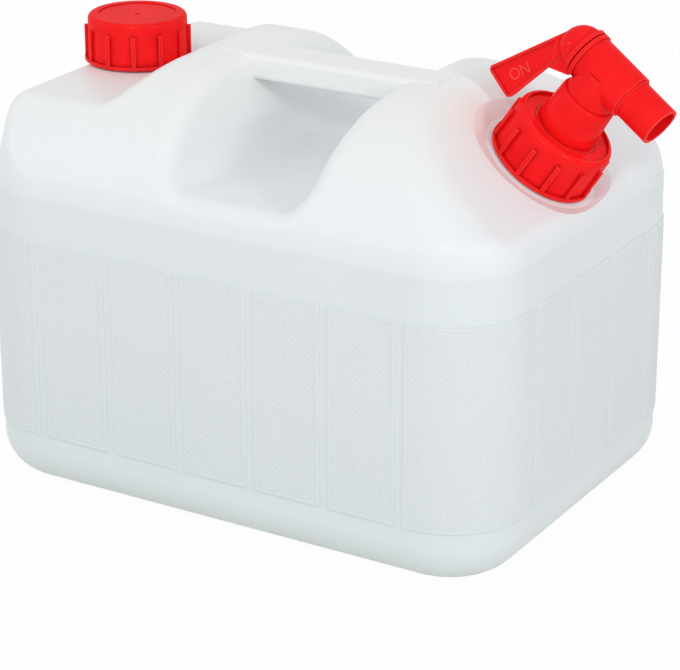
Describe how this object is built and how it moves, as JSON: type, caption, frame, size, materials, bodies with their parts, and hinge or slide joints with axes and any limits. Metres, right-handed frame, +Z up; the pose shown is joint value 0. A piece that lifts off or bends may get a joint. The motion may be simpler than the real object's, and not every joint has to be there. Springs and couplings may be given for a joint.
{
  "type": "jerrycan with tap",
  "caption": "Hollow moulded water container with a top handle, a ribbed screw cap and a turning plug tap on a slanted neck.",
  "frame": {"origin": "middle of the base, on the floor", "axes": "+X along the canister towards the tap, +Z up, the grip's opening runs along Y"},
  "size_m": [0.3403, 0.2222, 0.256],
  "materials": {
    "canister_shell": "milky translucent, soft sheen",
    "cap_plastic": "glossy red",
    "tap_plastic": "glossy red",
    "seal_rubber": "matt off-white"
  },
  "bodies": {
    "canister": {"canister_body": "canister_shell"},
    "cap_lift": {"filler_cap_seal": "seal_rubber"},
    "cap": {"filler_cap": "cap_plastic"},
    "tap_lift": {"tap_seal": "seal_rubber"},
    "nut": {"tap_ring_nut": "cap_plastic"},
    "tap": {"tap_body": "tap_plastic"},
    "lever": {"tap_lever": "tap_plastic"}
  },
  "joints": [
    {"name": "filler_cap_lift", "type": "slide", "parent": "canister", "child": "cap_lift", "axis": [0, 0, 1], "range_m": [0, 0.03]},
    {"name": "filler_cap_turn", "type": "hinge", "parent": "cap_lift", "child": "cap", "pos_m": [-0.1175, 0, 0.2036], "axis": [0, 0, 1], "range_deg": [0, 2160]},
    {"name": "tap_unit_lift", "type": "slide", "parent": "canister", "child": "tap_lift", "axis": [0.5635, 0, 0.8261], "range_m": [0, 0.03]},
    {"name": "ring_nut_turn", "type": "hinge", "parent": "tap_lift", "child": "nut", "pos_m": [0.12018, 0, 0.18602], "axis": [0.5635, 0, 0.8261], "range_deg": [0, 2160]},
    {"name": "tap_aim_turn", "type": "hinge", "parent": "tap_lift", "child": "tap", "pos_m": [0.12018, 0, 0.18602], "axis": [0.5635, 0, 0.8261], "continuous": true},
    {"name": "lever_turn", "type": "hinge", "parent": "tap", "child": "lever", "pos_m": [0.15359, 0, 0.235], "axis": [0.8211, -0.1097, -0.5601], "range_deg": [-90, 90]}
  ],
  "couplings": [
    {"joint": "filler_cap_lift", "follows": "filler_cap_turn", "m_per_rad": 0.00079577},
    {"joint": "tap_unit_lift", "follows": "ring_nut_turn", "m_per_rad": 0.00079577}
  ]
}
